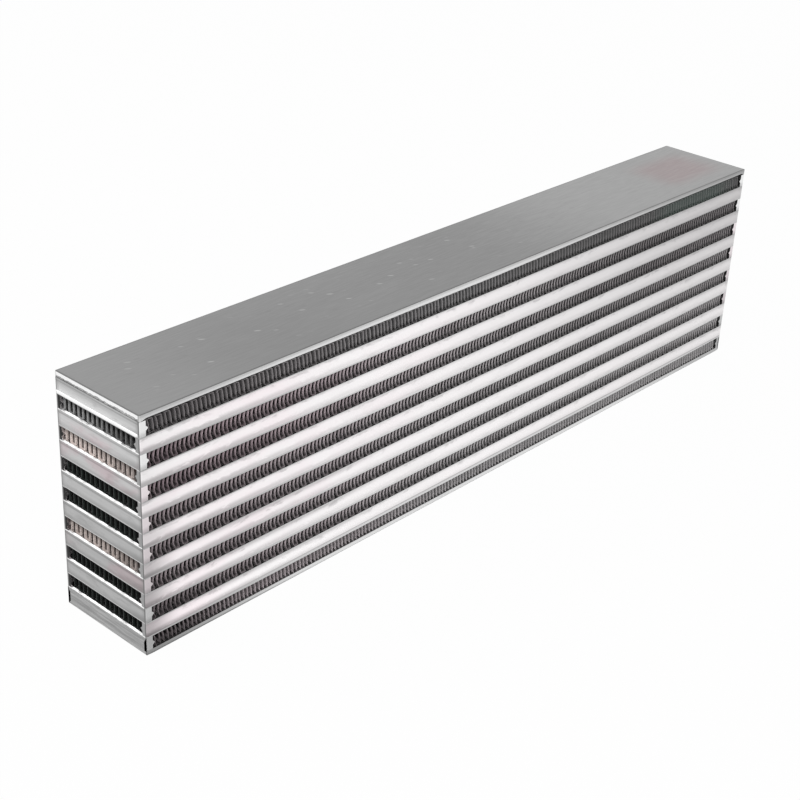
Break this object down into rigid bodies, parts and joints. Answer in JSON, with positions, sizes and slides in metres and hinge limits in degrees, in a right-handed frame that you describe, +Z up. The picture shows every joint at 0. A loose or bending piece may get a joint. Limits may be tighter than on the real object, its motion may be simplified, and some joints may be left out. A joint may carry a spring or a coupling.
{
  "type": "hydraulic oil cooler core",
  "caption": "Bar-and-plate oil cooler core: a brazed aluminium stack of finned air and oil passages, closed by nosed bars and parting sheets between two side plates.",
  "frame": {"origin": "middle of the underside of the bottom side plate", "axes": "+X along the length and the oil passages, -Y towards the air face seen in the picture, +Z up through the stack"},
  "size_m": [0.61, 0.0748, 0.1586],
  "materials": {
    "side_plate": "satin mill finish with small dents and scratches",
    "bar": "bright extruded bar, faint smudges from brazing",
    "parting_sheet": "bright clad sheet with braze fillets at its edges",
    "air_fin": "thin rolled strip, satin",
    "oil_fin": "thin rolled strip, matt, in shadow"
  },
  "bodies": {
    "root": {"top_side_plate": "side_plate", "bottom_side_plate": "side_plate", "parting_sheet_01": "parting_sheet", "parting_sheet_02": "parting_sheet", "parting_sheet_03": "parting_sheet", "parting_sheet_04": "parting_sheet", "parting_sheet_05": "parting_sheet", "parting_sheet_06": "parting_sheet", "parting_sheet_07": "parting_sheet", "parting_sheet_08": "parting_sheet", "parting_sheet_09": "parting_sheet", "parting_sheet_10": "parting_sheet", "parting_sheet_11": "parting_sheet", "parting_sheet_12": "parting_sheet", "parting_sheet_13": "parting_sheet", "parting_sheet_14": "parting_sheet", "air_fin_1": "air_fin", "air_fin_2": "air_fin", "air_fin_3": "air_fin", "air_fin_4": "air_fin", "air_fin_5": "air_fin", "air_fin_6": "air_fin", "air_fin_7": "air_fin", "air_fin_8": "air_fin", "oil_fin_1": "oil_fin", "oil_fin_2": "oil_fin", "oil_fin_3": "oil_fin", "oil_fin_4": "oil_fin", "oil_fin_5": "oil_fin", "oil_fin_6": "oil_fin", "oil_fin_7": "oil_fin", "air_bar_left_1": "bar", "air_bar_left_2": "bar", "air_bar_left_3": "bar", "air_bar_left_4": "bar", "air_bar_left_5": "bar", "air_bar_left_6": "bar", "air_bar_left_7": "bar", "air_bar_right_1": "bar", "air_bar_right_2": "bar", "air_bar_right_3": "bar", "air_bar_right_4": "bar", "air_bar_right_5": "bar", "air_bar_right_6": "bar", "air_bar_right_7": "bar", "oil_bar_front_1": "bar", "oil_bar_front_2": "bar", "oil_bar_front_3": "bar", "oil_bar_front_4": "bar", "oil_bar_front_5": "bar", "oil_bar_front_6": "bar", "oil_bar_front_7": "bar", "oil_bar_back_1": "bar", "oil_bar_back_2": "bar", "oil_bar_back_3": "bar", "oil_bar_back_4": "bar", "oil_bar_back_5": "bar", "oil_bar_back_6": "bar", "oil_bar_back_7": "bar"}
  },
  "joints": []
}
